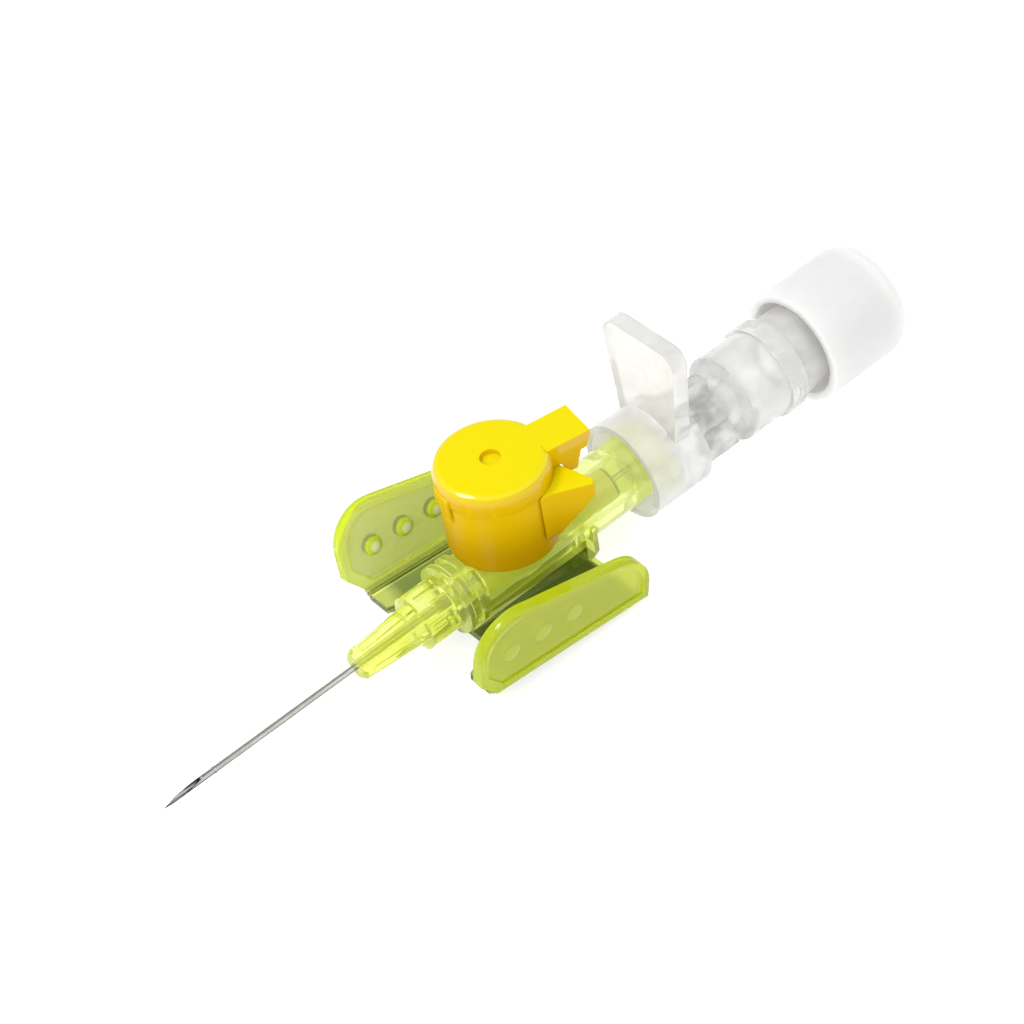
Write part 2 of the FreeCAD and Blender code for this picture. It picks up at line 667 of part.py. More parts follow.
# Outer wing panel in its own frame: X along the fold, Y away from it, Z up when the wing lies flat
def make_wing(label, side, fold):
    body = new_body(label)
    outline = new_sketch(body, "border_outline", "XY_Plane")
    add_outline(outline, wing_outline(dim(0), side))
    padded(body, "border", outline, size["rim_thick"], both_sides=True)
    front, rear = -size["wing_front"], size["base_rear"]
    inset = size["rim_width"]
    relief = (size["rim_thick"] - size["panel_thick"]) / 2
    for name, face, backward in (("upper_relief", 1, False), ("lower_relief", -1, True)):
        level = size["rim_thick"] / 2 * face
        sketch = new_sketch(body, name + "_outline", "XY_Plane", level)
        add_outline(sketch, wing_outline(inset, side))
        pocket(body, name, sketch, relief, backward=backward)
    for face in (1, -1):
        for name, place in (("front", front + inset), ("rear", rear - inset)):
            test = corner_edges(body, side, place, inset)
            label_face = "_top" if face > 0 else "_under"
            rounded(body, name + "_relief" + label_face, size[name + "_corner"] - inset,
                    lambda edge: test(edge) and edge.CenterOfMass.z * face > 0)
    rounded(body, "front_rounding", size["front_corner"], corner_edges(body, side, front, dim(0)))
    rounded(body, "rear_rounding", size["rear_corner"], corner_edges(body, side, rear, dim(0)))
    web = new_sketch(body, "moving_web_outline", "XY_Plane")
    web_end = size["web_half"] + size["web_overlap"]
    add_outline(web, [
        (-size["base_sweep"], size["web_split"] * side),
        (size["base_rear"], size["web_split"] * side),
        (size["base_rear"], web_end * side),
        (-size["base_sweep"], web_end * side),
    ])
    padded(body, "moving_web", web, size["web_thick"], both_sides=True)
    bump = new_sketch(body, "bump_outline", "XY_Plane", size["panel_thick"] / 2)
    add_circle(bump, -size["dimple_front"], size["dimple_up"] * side, size["dimple_dia"])
    first = padded(body, "bump", bump, size["dimple_rise"])
    row = body.newObject("PartDesign::LinearPattern", "bumps")
    row.Originals = [first]
    row.Direction = (bump, ["H_Axis"])
    row.setExpression("Length", (size["dimple_pitch"] * (BUMP_COUNT - 1)).text)
    row.Occurrences = BUMP_COUNT
    body.Tip = row
    doc.recompute()
    turn = (fold * side).text
    body.setExpression("Placement", "placement(vector(" + size["port_x"].text + "; "
                       + (size["fold_y"] * side).text + "; 0 - " + size["wing_drop"].text + "); "
                       + "rotation(vector(0; 1; 0); " + size["wing_pitch"].text + ") * "
                       + "rotation(vector(1; 0; 0); " + turn + "))")
    return body


def turn_about_port(body, angle):
    """Place a piece on the port axis, turned about it."""
    body.setExpression("Placement", "placement(vector(" + size["port_x"].text + "; 0; 0); "
                       + "rotation(vector(0; 0; 1); " + angle.text + "))")


# Collar round the chimney, with its prong along local X
def make_port_collar():
    body = new_body("port_collar")
    bore = size["chimney_dia"] / 2 + size["collar_gap"]
    turned(body, "ring", [
        (bore, size["collar_bottom"]),
        (size["collar_dia"] / 2, size["collar_bottom"]),
        (size["collar_dia"] / 2, size["collar_top"]),
        (bore, size["collar_top"]),
    ], axis="V_Axis")
    plan = new_sketch(body, "prong_plan", "XY_Plane", size["prong_foot"])
    root = size["collar_dia"] / 2 - size["prong_lip"]
    add_outline(plan, mirror_across([
        (root, size["prong_root"] / 2 + size["prong_flare"]),
        (root + size["prong_flare"], size["prong_root"] / 2),
        (size["prong_reach"], size["prong_tip"] / 2),
    ]))
    padded(body, "prong", plan, size["collar_top"] - size["prong_foot"])
    side = new_sketch(body, "prong_underside", "XZ_Plane")
    add_outline(side, [
        (size["collar_dia"] / 2 + size["prong_lip"], size["prong_foot"] - MARGIN),
        (size["collar_dia"] / 2 + size["prong_lip"], size["prong_foot"]),
        (size["prong_reach"] + MARGIN, size["collar_top"] - size["prong_lip"]),
        (size["prong_reach"] + MARGIN, size["prong_foot"] - MARGIN),
    ])
    pocket(body, "prong_slant", side, size["prong_root"] * 2, both_sides=True)
    turn_about_port(body, size["prong_turn"])
    return body


# Lid with its tab along local X, the gate dimple on top and the plug that closes the port
def make_port_lid():
    body = new_body("port_lid")
    foot = size["collar_top"] + size["lid_gap"]
    roof = size["lid_top"] - size["lid_roof"]
    turned(body, "lid_turned", [
        (0, roof - size["plug_depth"]),
        (size["plug_dia"] / 2, roof - size["plug_depth"]),
        (size["plug_dia"] / 2, roof),
        (size["lid_dia"] / 2 - size["lid_wall"], roof),
        (size["lid_dia"] / 2 - size["lid_wall"], foot),
        (size["lid_dia"] / 2, foot),
        *reversed(round_corner(size["lid_dia"] / 2, size["lid_top"], size["lid_round"], -1, -1)),
        (0, size["lid_top"]),
    ], axis="V_Axis")
    tab = new_sketch(body, "tab_side", "XZ_Plane", -size["tab_offset"])
    start = size["lid_dia"] / 2 - (size["lid_round"] + size["lid_wall"]) / 2
    hook = size["lid_dia"] / 2 + size["lid_gap"]
    hook_end = hook + size["tab_hook_length"]
    add_outline(tab, [
        (start, size["lid_top"]),
        (start, foot),
        (hook, foot),
        (hook + size["tab_hook_slope"], size["lid_top"] - size["tab_hook"]),
        (hook_end, size["lid_top"] - size["tab_hook"]),
        (hook_end + size["tab_hook_slope"], size["lid_top"] - size["tab_end"]),
        (size["tab_reach"] - size["tab_nose"], size["lid_top"] - size["tab_end"]),
        (size["tab_reach"], size["lid_top"] - size["tab_nose"]),
        (size["tab_reach"], size["lid_top"]),
    ])
    padded(body, "tab", tab, size["tab_width"], both_sides=True)
    gate = new_sketch(body, "gate_outline", "XY_Plane", size["lid_top"])
    add_circle(gate, 0, 0, size["gate_dia"])
    pocket(body, "gate_dimple", gate, size["gate_depth"])
    turn_about_port(body, size["tab_turn"])
    return body


# Steel needle with a slanted grind that faces up, and two side grinds at the point
def make_needle_shaft():
    body = new_body("needle_shaft")
    tip = -size["needle_reach"]
    radius = size["needle_dia"] / 2
    rear = size["port_x"] + size["needle_rear"]
    turned(body, "needle_turned", [
        (tip, size["needle_bore"] / 2),
        (tip, radius),
        (rear, radius),
        (rear, size["needle_bore"] / 2),
    ])
    bevel = new_sketch(body, "bevel_outline", "XZ_Plane")
    rise = size["needle_dia"] / size["bevel_length"]
    add_outline(bevel, [
        (tip - MARGIN, -radius - rise * MARGIN),
        (tip + size["bevel_length"] + MARGIN, radius + rise * MARGIN),
        (tip - MARGIN, radius + rise * MARGIN),
    ])
    pocket(body, "bevel", bevel, size["needle_dia"] * 2, both_sides=True)
    lancet = new_sketch(body, "lancet_outline", "XY_Plane", -size["needle_dia"])
    for side in (1, -1):
        add_outline(lancet, [
            (tip - MARGIN, dim(0)),
            (tip, dim(0)),
            (tip + size["lancet_length"], radius * side),
            (tip + size["lancet_length"], (radius + MARGIN) * side),
            (tip - MARGIN, (radius + MARGIN) * side),
        ])
    pocket(body, "lancet", lancet, size["needle_dia"] * 2, backward=True)
    return body


# Adhesive bead round the needle in the neck
def make_needle_glue():
    body = new_body("needle_glue", size["port_x"])
    radius = size["needle_dia"] / 2
    turned(body, "bead", [
        (size["glue_front"], radius),
        (size["glue_front"], size["neck_bore"] / 2),
        (size["glue_rear"], size["neck_bore"] / 2),
        (size["glue_rear"], radius),
    ])
    return body


# Needle hub: male nose, skirt, thumb plate, ribbed neck and flash chamber in one clear moulding
def make_needle_hub():
    body = new_body("needle_hub", size["port_x"])
    nose_tip = size["skirt_floor"] - size["luer_nose"]
    inner = size["skirt_dia"] / 2 - size["skirt_wall"]
    turned(body, "hub_turned", [
        (nose_tip, 0),
        (nose_tip, socket_radius(nose_tip) - size["luer_gap"]),
        (size["skirt_floor"], socket_radius(size["skirt_floor"]) - size["luer_gap"]),
        (size["skirt_floor"], inner),
        (size["skirt_front"], inner),
        (size["skirt_front"], size["skirt_dia"] / 2),
        (size["skirt_rear"], size["skirt_dia"] / 2),
        (size["skirt_rear"], size["neck_dia"] / 2),
        (size["chamber_front"], size["neck_dia"] / 2),
        (size["chamber_front"], size["chamber_dia"] / 2),
        (size["band_front"], size["chamber_dia"] / 2),
        (size["band_front"], size["band_dia"] / 2),
        (size["band_rear"], size["band_dia"] / 2),
        (size["band_rear"], size["mouth_dia"] / 2),
        (size["mouth_rear"], size["mouth_dia"] / 2),
        (size["mouth_rear"], 0),
    ])
    add_thumb_plate(body)
    add_neck_ribs(body)
    radius = size["needle_dia"] / 2
    neck_hollow = size["chamber_front"] + size["chamber_wall"]
    filter_rear = size["mouth_rear"] - size["filter_inset"]
    turned(body, "inner_way", [
        (nose_tip - MARGIN, 0),
        (nose_tip - MARGIN, radius),
        (size["glue_front"], radius),
        (size["glue_front"], size["neck_bore"] / 2),
        (neck_hollow, size["neck_bore"] / 2),
        (neck_hollow, size["chamber_bore"] / 2),
        (size["band_rear"], size["chamber_bore"] / 2),
        (size["band_rear"], mouth_radius(filter_rear)),
        (filter_rear, mouth_radius(filter_rear)),
        (size["mouth_rear"] + MARGIN, mouth_radius(size["mouth_rear"] + MARGIN)),
        (size["mouth_rear"] + MARGIN, 0),
    ], cut=True)
    return body


def mouth_radius(x):
    """Radius of the flash chamber's rear luer cone at a place behind the port."""
    return (size["luer_dia"] - (size["mouth_rear"] - x) * size["luer_taper"]) / 2


def add_thumb_plate(body):
    """Upright plate across the skirt, wider at its top, with rounded upper corners."""
    plate = new_sketch(body, "plate_outline", "YZ_Plane", size["skirt_floor"])
    half_foot = size["plate_foot_width"] / 2
    half_top = size["plate_top_width"] / 2
    add_outline(plate, [
        (-half_foot, size["plate_foot"]),
        (half_foot, size["plate_foot"]),
        (half_top, size["plate_top"]),
        (-half_top, size["plate_top"]),
    ])
    padded(body, "thumb_plate", plate, size["plate_thick"])

    def at_top_corner(edge):
        ends = [vertex.Point for vertex in edge.Vertexes]
        level = all(near(end.z, size["plate_top"]) for end in ends)
        outside = all(near(abs(end.y), half_top) for end in ends)
        return level and outside and near(edge.Length, size["plate_thick"])
    rounded(body, "plate_corners", size["plate_round"], at_top_corner)


def add_neck_ribs(body):
    """Ribs round the neck, between the skirt and the flash chamber."""
    sketch = new_sketch(body, "neck_rib_outline", "XZ_Plane")
    inner = size["neck_dia"] / 2 - size["rib_thick"] / 2
    front = size["skirt_rear"] - size["rib_thick"] / 2
    slant = size["rib_thick"] / 2
    add_outline(sketch, [
        (front, inner),
        (size["rib_rear"], inner),
        (size["rib_rear"], size["rib_span"] / 2 - slant),
        (size["rib_rear"] - slant, size["rib_span"] / 2),
        (front, size["rib_span"] / 2),
    ])
    rib = padded(body, "neck_rib", sketch, size["rib_thick"], both_sides=True)
    turned_pattern(body, "neck_ribs", rib, size["rib_count"])


# Porous disc in the seat behind the flash chamber
def make_vent_filter():
    body = new_body("vent_filter", size["port_x"])
    rear = size["mouth_rear"] - size["filter_inset"]
    front = rear - size["filter_length"]
    turned(body, "disc", [
        (front, 0),
        (front, mouth_radius(rear)),
        (rear, mouth_radius(rear)),
        (rear, 0),
    ])
    return body


# White plug: outer skirt, rear wall and male nose in the chamber's rear cone
def make_luer_plug():
    body = new_body("luer_plug", size["port_x"])
    floor = size["cap_rear"] - size["cap_back"]
    inner = size["cap_dia"] / 2 - size["cap_wall"]
    nose_tip = size["mouth_rear"] - size["filter_inset"] + size["cap_nose_gap"]
    turned(body, "plug_turned", [
        (nose_tip, 0),
        (nose_tip, mouth_radius(nose_tip) - size["luer_gap"]),
        (size["mouth_rear"], mouth_radius(size["mouth_rear"]) - size["luer_gap"]),
        (floor, mouth_radius(size["mouth_rear"]) - size["luer_gap"]),
        (floor, inner),
        (size["cap_front"], inner),
        (size["cap_front"], size["cap_dia"] / 2),
        *round_corner(size["cap_rear"], size["cap_dia"] / 2, size["cap_round"], -1, -1),
        (size["cap_rear"], 0),
    ])
    turned(body, "nose_hole", [
        (nose_tip - MARGIN, 0),
        (nose_tip - MARGIN, size["cap_nose_bore"] / 2),
        (nose_tip + size["cap_nose_depth"], size["cap_nose_bore"] / 2),
        (nose_tip + size["cap_nose_depth"], 0),
    ], cut=True)
    return body


def check_document():
    """Stop on any object that failed to compute."""
    doc.recompute()
    for item in doc.Objects:
        if any(flag in item.State for flag in RED_FLAGS):
            raise RuntimeError(item.Label + " did not compute: " + str(item.State))


def export_pieces(pieces):
    """Write each piece to a file named after its label."""
    os.makedirs("parts", exist_ok=True)
    for piece in pieces:
        shape = piece.Shape
        if shape.isNull() or not shape.isValid() or len(shape.Solids) != 1:
            raise RuntimeError(piece.Label + " is not one valid solid")
    for piece in pieces:
        piece.Shape.exportStep("parts/" + piece.Label + ".step")


pieces = [
    make_catheter_tube(),
    make_catheter_ferrule(),
    make_catheter_hub(),
    make_wing("wing_right", 1, size["right_fold"]),
    make_wing("wing_left", -1, size["left_fold"]),
    make_valve_sleeve(),
    make_port_collar(),
    make_port_lid(),
    make_needle_shaft(),
    make_needle_glue(),
    make_needle_hub(),
    make_vent_filter(),
    make_luer_plug(),
]
check_document()
export_pieces(pieces)
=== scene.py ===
"""Winged intravenous cannula with a capped injection port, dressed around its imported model.

The scene is in metres, in the part's own frame: the origin is at the front face of the hub's nose
on the needle axis, +X points to the rear plug and +Z up through the port. The sizes written here
are in millimetres.
"""
import logging
import math
from dataclasses import dataclass
from enum import Enum
from typing import Optional, Sequence, Union

import bmesh
import bpy
from mathutils import Matrix, Vector


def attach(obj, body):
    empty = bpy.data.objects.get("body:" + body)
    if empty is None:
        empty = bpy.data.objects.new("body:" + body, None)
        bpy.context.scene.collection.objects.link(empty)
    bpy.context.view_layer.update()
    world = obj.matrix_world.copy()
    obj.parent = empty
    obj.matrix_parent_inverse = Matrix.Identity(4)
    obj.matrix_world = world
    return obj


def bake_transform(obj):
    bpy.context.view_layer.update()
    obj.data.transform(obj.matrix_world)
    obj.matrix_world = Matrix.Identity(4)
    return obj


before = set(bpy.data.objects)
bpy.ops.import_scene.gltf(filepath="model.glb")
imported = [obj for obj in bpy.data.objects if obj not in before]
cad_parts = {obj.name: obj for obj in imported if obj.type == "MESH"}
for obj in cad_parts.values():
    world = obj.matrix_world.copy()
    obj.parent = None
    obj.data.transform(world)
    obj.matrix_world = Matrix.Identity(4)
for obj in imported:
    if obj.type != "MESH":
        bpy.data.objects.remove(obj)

LOG = logging.getLogger("cannula")
MM = 0.001
PORT_X = 17.8  # the port's axis, behind the nose
FOLD_Y = 8.85  # the wings' fold lines, beside the needle axis
FOLD_Z = -4.3  # and under it, at the port
PITCH = 5.8  # slope of the fold lines, in degrees
LEFT_FOLD = 84.0  # angles of the wings above flat, at rest
RIGHT_FOLD = 78.0
PLASTIC_IOR = 1.38
CLOUD_OCTAVES = 3.0
GRAIN_OCTAVES = 4.0
BLACK = (0.0, 0.0, 0.0)
Triple = tuple[float, float, float]
Colour = Triple
Span = tuple[float, float]


def point(x: float, y: float, z: float) -> Vector:
    """Point of the part's frame from millimetres."""
    return Vector((x * MM, y * MM, z * MM))


def wing_frame(side: int, fold: float) -> Matrix:
    """Frame of a wing panel as it rests.

    X runs along the fold line, Y across the panel and Z through it, to its inner face.

    Args:
        side: 1 on the right and -1 on the left.
        fold: Angle of the panel above flat, in degrees.

    Returns:
        The frame, in metres.
    """
    pitch = Matrix.Rotation(math.radians(PITCH), 4, "Y")
    turn = Matrix.Rotation(math.radians(fold * side), 4, "X")
    return Matrix.Translation(point(PORT_X, FOLD_Y * side, FOLD_Z)) @ pitch @ turn


def linear(red: int, green: int, blue: int) -> Colour:
    """Screen colour, 0 to 255 a channel, as the linear colour that shaders take.

    Args:
        red: Red channel on the screen.
        green: Green channel on the screen.
        blue: Blue channel on the screen.

    Returns:
        The three channels, linear, from 0 to 1.
    """
    def channel(value: int) -> float:
        """One channel, linear."""
        part = value / 255
        return part / 12.92 if part <= 0.04045 else ((part + 0.055) / 1.055) ** 2.4
    return channel(red), channel(green), channel(blue)


class Wire:
    """A shader socket that takes part in Python expressions on values."""

    def __init__(self, graph: "ShaderGraph", socket: bpy.types.NodeSocket) -> None:
        """Keep the graph and the output socket."""
        self.graph = graph
        self.socket = socket

    def _math(self, operation: str, *values: "Value") -> "Wire":
        """Math node on this wire and others, in the order given."""
        return self.graph.node("ShaderNodeMath", {"operation": operation}, list(values))

    def __add__(self, other: "Value") -> "Wire":
        """Sum."""
        return self._math("ADD", self, other)

    def __sub__(self, other: "Value") -> "Wire":
        """Difference."""
        return self._math("SUBTRACT", self, other)

    def __mul__(self, other: "Value") -> "Wire":
        """Product."""
        return self._math("MULTIPLY", self, other)

    def __abs__(self) -> "Wire":
        """Size without its sign."""
        return self._math("ABSOLUTE", self)

    def bigger(self, other: "Value") -> "Wire":
        """The larger of two values."""
        return self._math("MAXIMUM", self, other)


Value = Union[Wire, float, int, Colour, Vector]


class ShaderGraph:
    """The node tree of one material or of the world, with a single method that adds nodes."""

    def __init__(self, name: str, world: Optional[bpy.types.World] = None) -> None:
        """Make an empty material, or empty the world's nodes.

        Args:
            name: The material's name.
            world: The world, if the nodes are for it.
        """
        self.material = world or bpy.data.materials.new(name)
        self.material.use_nodes = True
        self.tree = self.material.node_tree
        self.tree.nodes.clear()
        kind = "ShaderNodeOutputWorld" if world else "ShaderNodeOutputMaterial"
        self.out = self.tree.nodes.new(kind)

    def node(self, kind: str, settings: Optional[dict] = None,
             inputs: Union[dict, Sequence[Value], None] = None,
             output: Union[str, int] = 0) -> Wire:
        """Add a node.

        Args:
            kind: The node's type.
            settings: Its own properties, set first; the key stops gives a ramp's stops.
            inputs: Values or wires for its sockets, by name or number, or in order.
            output: The output that the wire comes from.

        Returns:
            The wire of that output.
        """
        made = self.tree.nodes.new(kind)
        for key, value in (settings or {}).items():
            if key == "stops":
                self._set_stops(made, value)
            else:
                setattr(made, key, value)
        pairs = inputs.items() if isinstance(inputs, dict) else enumerate(inputs or [])
        for key, value in pairs:
            self._feed(made.inputs[key], value)
        return Wire(self, made.outputs[output])

    def _set_stops(self, ramp: bpy.types.Node, stops: Sequence[tuple[float, Colour]]) -> None:
        """Place a ramp's stops."""
        elements = ramp.color_ramp.elements
        while len(elements) > 1:
            elements.remove(elements[-1])
        for index, (place, colour) in enumerate(stops):
            stop = elements[0] if index == 0 else elements.new(place)
            stop.position = place
            stop.color = (*colour, 1.0)

    def _feed(self, socket: bpy.types.NodeSocket, value: Value) -> None:
        """Link a wire to a socket, or set the socket's own value."""
        if isinstance(value, Wire):
            self.tree.links.new(value.socket, socket)
        elif isinstance(value, (tuple, Vector)) and len(value) == 3 and socket.type == "RGBA":
            socket.default_value = (*value, 1.0)
        else:
            socket.default_value = value

    def mix(self, factor: Value, first: Value, second: Value) -> Wire:
        """Blend of two colours: the first at factor 0, the second at 1."""
        inputs = {0: factor, 6: first, 7: second}
        return self.node("ShaderNodeMix", {"data_type": "RGBA"}, inputs, 2)

    def place(self) -> Wire:
        """Position on the piece, in the part's frame at rest."""
        return self.node("ShaderNodeTexCoord", output="Object")

    def axis(self, vector: Wire, name: str) -> Wire:
        """One coordinate of a vector: X, Y or Z."""
        return self.node("ShaderNodeSeparateXYZ", None, [vector], name)

    def coordinate(self, name: str) -> Wire:
        """One coordinate of the position on the piece, in millimetres."""
        return self.axis(self.place(), name) * (1 / MM)

    def normal(self) -> Wire:
        """Direction that the surface faces."""
        return self.node("ShaderNodeNewGeometry", output="Normal")

    def along(self, vector: Wire, direction: Vector) -> Wire:
        """Length of a vector along a direction."""
        settings = {"operation": "DOT_PRODUCT"}
        return self.node("ShaderNodeVectorMath", settings, [vector, direction], "Value")

    def reach(self, frame_at: Matrix, name: str) -> Wire:
        """One coordinate of the position in another frame, in millimetres.

        Args:
            frame_at: The frame.
            name: The coordinate: X, Y or Z.

        Returns:
            The coordinate.
        """
        direction = frame_at.col["XYZ".index(name)].to_3d()
        start = frame_at.to_translation().dot(direction)
        return (self.along(self.place(), direction) - start) * (1 / MM)

    def noise(self, scale: float, detail: float = 2.0, stretch: Optional[Vector] = None) -> Wire:
        """Noise value over the piece.

        Args:
            scale: Cells for each millimetre.
            detail: Octaves of finer noise.
            stretch: Factors on the three axes, for grain that runs one way.

        Returns:
            The noise value, from 0 to 1.
        """
        where = self.place()
        if stretch is not None:
            where = self.node("ShaderNodeVectorMath", {"operation": "MULTIPLY"}, [where, stretch])
        inputs = {"Vector": where, "Scale": scale / MM, "Detail": detail}
        return self.node("ShaderNodeTexNoise", None, inputs, "Fac")

    def step(self, value: Value, span: Span) -> Wire:
        """Smooth change from 0 at the span's first value to 1 at its second."""
        inputs = {"Value": value, "From Min": span[0], "From Max": span[1]}
        return self.node("ShaderNodeMapRange", {"interpolation_type": "SMOOTHSTEP"}, inputs)

    def bump(self, height: Wire, strength: float, distance: float) -> Wire:
        """Bump normal from a height.

        Args:
            height: The height, from 0 to 1.
            strength: How much of it counts.
            distance: Its full height in millimetres.

        Returns:
            The normal.
        """
        inputs = {"Height": height, "Strength": strength, "Distance": distance * MM}
        return self.node("ShaderNodeBump", None, inputs)

    def surface(self, inputs: dict, kind: str = "ShaderNodeBsdfPrincipled") -> None:
        """Join a shader of a kind, with these inputs, to the output."""
        shader = self.node(kind, None, inputs)
        self.tree.links.new(shader.socket, self.out.inputs["Surface"])


@dataclass(frozen=True)
class Grain:
    """Fine relief of a moulded surface: cells a millimetre, octaves, strength and height."""

    scale: float
    detail: float
    strength: float
    height: float

    def normal(self, graph: ShaderGraph) -> Wire:
        """Bump normal of the relief."""
        return graph.bump(graph.noise(self.scale, self.detail), self.strength, self.height)


@dataclass(frozen=True)
class LimePlastic:
    """See-through lime moulding of the hub: paler towards the rear, painted shade on the base
    panels, painted glow elsewhere.
    """

    body: Colour = linear(238, 243, 166)
    full: Colour = linear(226, 232, 104)
    # Painted shade: the far (+Y) and near (-Y) base panel colours stand in for the shade between
    # the barrel and the wings.
    panel: Colour = linear(140, 156, 80)
    shade: Colour = linear(88, 102, 34)
    pale: Colour = linear(240, 245, 196)
    # Painted glow: the hub gives off lime light outside the base panels, though it is no lamp.
    glow: Colour = linear(206, 222, 20)
    glow_strength: float = 0.10
    transmission: float = 0.8
    roughness: float = 0.04
    roughness_range: float = 0.06
    flow_scale: float = 0.35
    flow_colour: Span = (0.35, 0.7)
    flow_roughness: Span = (0.2, 0.9)
    panel_top: Span = (-2.95, -3.15)
    panel_edge: Span = (8.3, 8.1)
    panel_rear: Span = (25.0, 24.7)
    panel_middle: Span = (0.4, -0.4)
    rear: Span = (24.0, 27.5)
    rear_share: float = 0.6
    grain: Grain = Grain(6.0, GRAIN_OCTAVES, 0.15, 0.01)

    def material(self) -> bpy.types.Material:
        """Build the material.

        Returns:
            The material.
        """
        graph = ShaderGraph("lime_plastic")
        flow = graph.noise(self.flow_scale, CLOUD_OCTAVES)
        colour = graph.mix(graph.step(flow, self.flow_colour), self.body, self.full)
        back = graph.coordinate("X")
        out = graph.coordinate("Y")
        low = graph.step(graph.coordinate("Z"), self.panel_top)
        within = graph.step(abs(out), self.panel_edge) * graph.step(back, self.panel_rear)
        # Painted shade on the base panels, below the barrel and inside the fold lines.
        base = low * within
        painted_panel_shade = graph.mix(graph.step(out, self.panel_middle), self.panel, self.shade)
        colour = graph.mix(graph.step(back, self.rear) * self.rear_share, colour, self.pale)
        rough = graph.step(flow, self.flow_roughness) * self.roughness_range
        graph.surface({
            "Base Color": graph.mix(base, colour, painted_panel_shade),
            "Roughness": rough + self.roughness,
            "Transmission Weight": self.transmission,
            "IOR": PLASTIC_IOR,
            # Painted glow, kept off the base panels.
            "Emission Color": graph.mix(base, self.glow, BLACK),
            "Emission Strength": self.glow_strength,
            "Normal": self.grain.normal(graph),
        })
        return graph.material


@dataclass(frozen=True)
class LimeWing:
    """Lime wing panel: bright border with painted glow, inner face greyed as painted shade, fuller
    outer face.
    """

    name: str
    side: int
    fold: float
    border: Colour = linear(214, 228, 40)
    # Painted shade: the inner face's greyer colour stands in for the shaded backdrop seen through
    # the thin panel.
    inner: Colour = linear(216, 223, 192)
    outer: Colour = linear(212, 221, 36)
    # Painted glow on the border and edge faces, though the wing is no lamp.
    glow: Colour = linear(208, 226, 10)
    transmission: float = 0.55
    roughness: float = 0.08
    roughness_range: float = 0.08
    border_rise: Span = (0.41, 0.49)
    border_share: float = 0.35
    turned: Span = (0.85, 0.4)
    middle: Span = (-0.1, 0.1)
    cloud_scale: float = 0.3
    cloud_colour: Span = (0.3, 0.8)
    cloud_share: float = 0.25
    # Strength of the painted glow on the edges.
    strength: float = 0.12
    grain: Grain = Grain(4.0, GRAIN_OCTAVES, 0.15, 0.01)

    def material(self) -> bpy.types.Material:
        """Build the material.

        Returns:
            The material.
        """
        graph = ShaderGraph(self.name)
        at = wing_frame(self.side, self.fold)
        height = graph.reach(at, "Z")
        cloud = graph.noise(self.cloud_scale, CLOUD_OCTAVES)
        face = graph.mix(graph.step(height, self.middle), self.outer, self.inner)
        clouded = graph.step(cloud, self.cloud_colour) * self.cloud_share
        face = graph.mix(clouded, face, self.border)
        level = abs(graph.along(graph.normal(), at.col[2].to_3d()))
        raised = graph.step(abs(height), self.border_rise) * self.border_share
        edge = raised.bigger(graph.step(level, self.turned))
        graph.surface({
            "Base Color": graph.mix(edge, face, self.border),
            "Roughness": cloud * self.roughness_range + self.roughness,
            "Transmission Weight": self.transmission,
            "IOR": PLASTIC_IOR,
            # Painted glow along the border and the edge faces.
            "Emission Color": graph.mix(edge, BLACK, self.glow),
            "Emission Strength": self.strength,
            "Normal": self.grain.normal(graph),
        })
        return graph.material


@dataclass(frozen=True)
class HingeWeb:
    """Bent plastic of a fold line: a painted highlight on the wing's side, painted shade on the
    panel's side.
    """

    name: str
    side: int
    # Painted highlight: the pale stripe on the wing's side of the fold.
    white: Colour = linear(226, 228, 214)
    # Painted shade: the dark stripe on the panel's side of the fold.
    dark: Colour = linear(84, 98, 40)
    bright: Colour = linear(200, 222, 60)
    boundary: Span = (-0.05, 0.05)
    streak_scale: float = 0.8
    streak_stretch: Triple = (0.1, 3.0, 3.0)
    streak_span: Span = (0.35, 0.75)
    streak_share: float = 0.35
    roughness: float = 0.2
    roughness_range: float = 0.2
    transmission: float = 0.15
    relief: Span = (0.3, 0.03)

    def material(self) -> bpy.types.Material:
        """Build the material.

        Returns:
            The material.
        """
        graph = ShaderGraph(self.name)
        flat = wing_frame(self.side, 0.0)
        across = graph.reach(flat, "Z") + graph.reach(flat, "Y") * self.side
        # Painted highlight and painted shade on the two sides of the fold.
        colour = graph.mix(graph.step(across, self.boundary), self.dark, self.white)
        cloud = graph.noise(self.streak_scale, stretch=Vector(self.streak_stretch))
        streak = graph.step(cloud, self.streak_span)
        graph.surface({
            "Base Color": graph.mix(streak * self.streak_share, colour, self.bright),
            "Roughness": streak * self.roughness_range + self.roughness,
            "Transmission Weight": self.transmission,
            "Normal": graph.bump(streak, *self.relief),
        })
        return graph.material


@dataclass(frozen=True)
class GripBump:
    """Glossy lime dome with a painted highlight at its top, and the plain low mark on the wing's
    outer face.
    """

    name: str
    side: int
    fold: float
    foot: Colour = linear(200, 224, 30)
    # Painted highlight on the dome's top.
    painted_crown_highlight: Colour = linear(242, 248, 208)
    mark: Colour = linear(178, 191, 40)
    crown_rise: Span = (0.76, 0.92)
    middle: Span = (-0.1, 0.1)
    cloud_scale: float = 2.0
    roughness: float = 0.05
    roughness_range: float = 0.06
    transmission: float = 0.12
    relief: Span = (0.1, 0.02)

    def material(self) -> bpy.types.Material:
        """Build the material.

        Returns:
            The material.
        """
        graph = ShaderGraph(self.name)
        height = graph.reach(wing_frame(self.side, self.fold), "Z")
        cloud = graph.noise(self.cloud_scale, CLOUD_OCTAVES)
        # Painted highlight on the upper part of the dome.
        dome = graph.mix(graph.step(height, self.crown_rise), self.foot, self.painted_crown_highlight)
        graph.surface({
            "Base Color": graph.mix(graph.step(height, self.middle), self.mark, dome),
            "Roughness": cloud * self.roughness_range + self.roughness,
            "Transmission Weight": self.transmission,
            "Normal": graph.bump(cloud, *self.relief),
        })
        return graph.material


